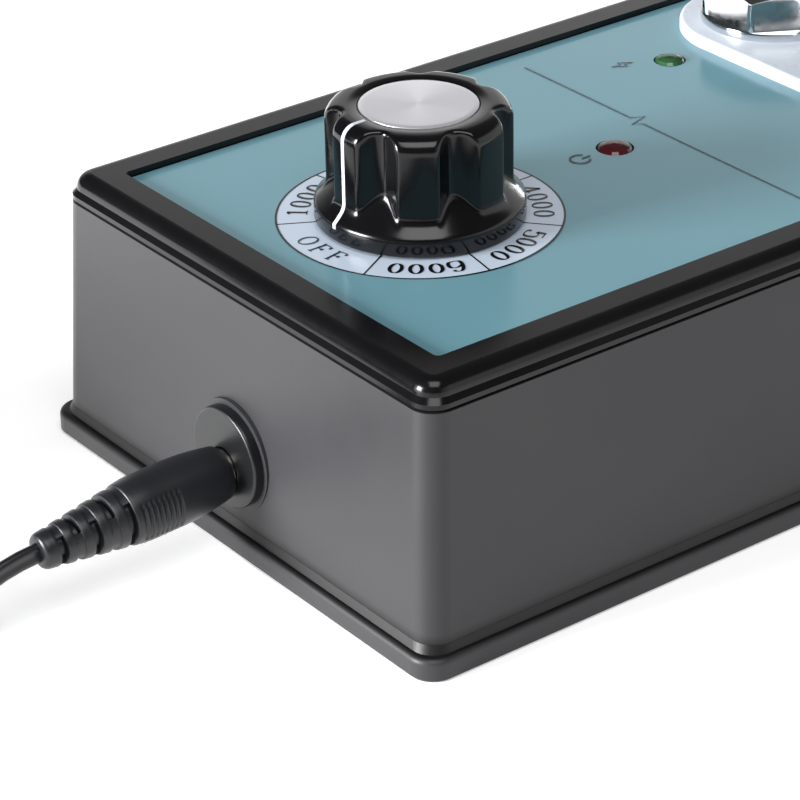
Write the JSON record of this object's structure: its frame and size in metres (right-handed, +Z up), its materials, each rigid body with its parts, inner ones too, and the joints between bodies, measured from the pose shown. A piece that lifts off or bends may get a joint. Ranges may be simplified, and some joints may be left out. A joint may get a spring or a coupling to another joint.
{
  "type": "spark plug tester",
  "caption": "Flanged black bench box with a fluted speed knob on a ring dial, round lamps, hexagonal plug sockets on a white plate and a moulded supply lead.",
  "frame": {"origin": "middle of the box's resting face, measured without the supply lead", "axes": "+Z up, the operator stands at -Y and faces +Y, +X to the operator's right; the box's long side lies along Y"},
  "size_m": [0.1404, 0.2394, 0.0538],
  "materials": {
    "case_abs": "fine moulded texture, black",
    "cover_abs": "semi-gloss moulded black",
    "label_film": "glossy printed film, pale blue-green",
    "screw_steel": "blackened steel",
    "knob_phenolic": "polished black",
    "knob_aluminium": "spun face",
    "knob_paint": "white inlay",
    "plated_steel": "zinc plated",
    "plate_white": "glossy white",
    "socket_chrome": "bright plated",
    "sleeve_nylon": "natural nylon",
    "contact_brass": "turned brass",
    "spring_steel": "spring wire",
    "lamp_red": "tinted epoxy, unlit",
    "lamp_green": "tinted epoxy, unlit",
    "jack_black": "black nylon",
    "board_laminate": "solder-masked laminate",
    "part_epoxy": "moulded epoxy",
    "capacitor_skin": "shrink sleeve",
    "resistor_body": "tan lacquer",
    "sink_aluminium": "black anodised",
    "wire_red": "silicone insulation",
    "wire_black": "plastic insulation",
    "lead_pvc": "soft black plastic",
    "plug_nickel": "nickel plated",
    "adapter_plastic": "fine moulded texture, black"
  },
  "bodies": {
    "case": {"housing": "case_abs", "top_cover": "cover_abs", "panel_label": "label_film", "case_screws": "screw_steel", "potentiometer": "plated_steel", "pot_nut": "plated_steel", "led_leads": "wire_black", "socket_plate": "plate_white", "socket_clamp_nuts": "plated_steel", "dc_jack": "jack_black", "dc_jack_nut": "jack_black", "circuit_board": "board_laminate", "board_screws": "screw_steel", "main_capacitor": "capacitor_skin", "small_capacitors": "capacitor_skin", "heat_sink": "sink_aluminium", "power_transistor": "part_epoxy", "timer_chip": "part_epoxy", "resistors": "resistor_body", "jack_wires": "wire_red", "pot_wires": "wire_black", "dc_plug": "lead_pvc", "dc_plug_sleeve": "plug_nickel", "strain_relief": "lead_pvc", "power_lead": "lead_pvc", "lead_coil": "lead_pvc", "lead_tail": "lead_pvc", "lead_tie": "jack_black", "power_adapter": "adapter_plastic", "adapter_prongs": "plug_nickel", "led_power": "lamp_red", "led_signal_left": "lamp_green", "led_signal_right": "lamp_green", "socket_collar_left": "socket_chrome", "socket_sleeve_left": "sleeve_nylon", "contact_base_left": "contact_brass", "contact_spring_left": "spring_steel", "spark_coil_left": "part_epoxy", "spark_lead_left": "wire_red", "socket_collar_right": "socket_chrome", "socket_sleeve_right": "sleeve_nylon", "contact_base_right": "contact_brass", "contact_spring_right": "spring_steel", "spark_coil_right": "part_epoxy", "spark_lead_right": "wire_red"},
    "dial_knob": {"knob": "knob_phenolic", "knob_cap": "knob_aluminium", "knob_pointer": "knob_paint", "knob_set_screw": "screw_steel", "pot_shaft": "plated_steel"},
    "contact_left": {"contact_cup_left": "contact_brass"},
    "contact_right": {"contact_cup_right": "contact_brass"}
  },
  "joints": [
    {"name": "knob_turn", "type": "hinge", "parent": "case", "child": "dial_knob", "pos_m": [0, -0.0366, 0.0381], "axis": [0, 0, 1], "range_deg": [-300, 0]},
    {"name": "contact_press_left", "type": "slide", "parent": "case", "child": "contact_left", "axis": [0, 0, -1], "range_m": [0, 0.002], "stiffness_N_per_m": 400, "springref_m": -0.001, "deforming": ["contact_spring_left"]},
    {"name": "contact_press_right", "type": "slide", "parent": "case", "child": "contact_right", "axis": [0, 0, -1], "range_m": [0, 0.002], "stiffness_N_per_m": 400, "springref_m": -0.001, "deforming": ["contact_spring_right"]}
  ]
}
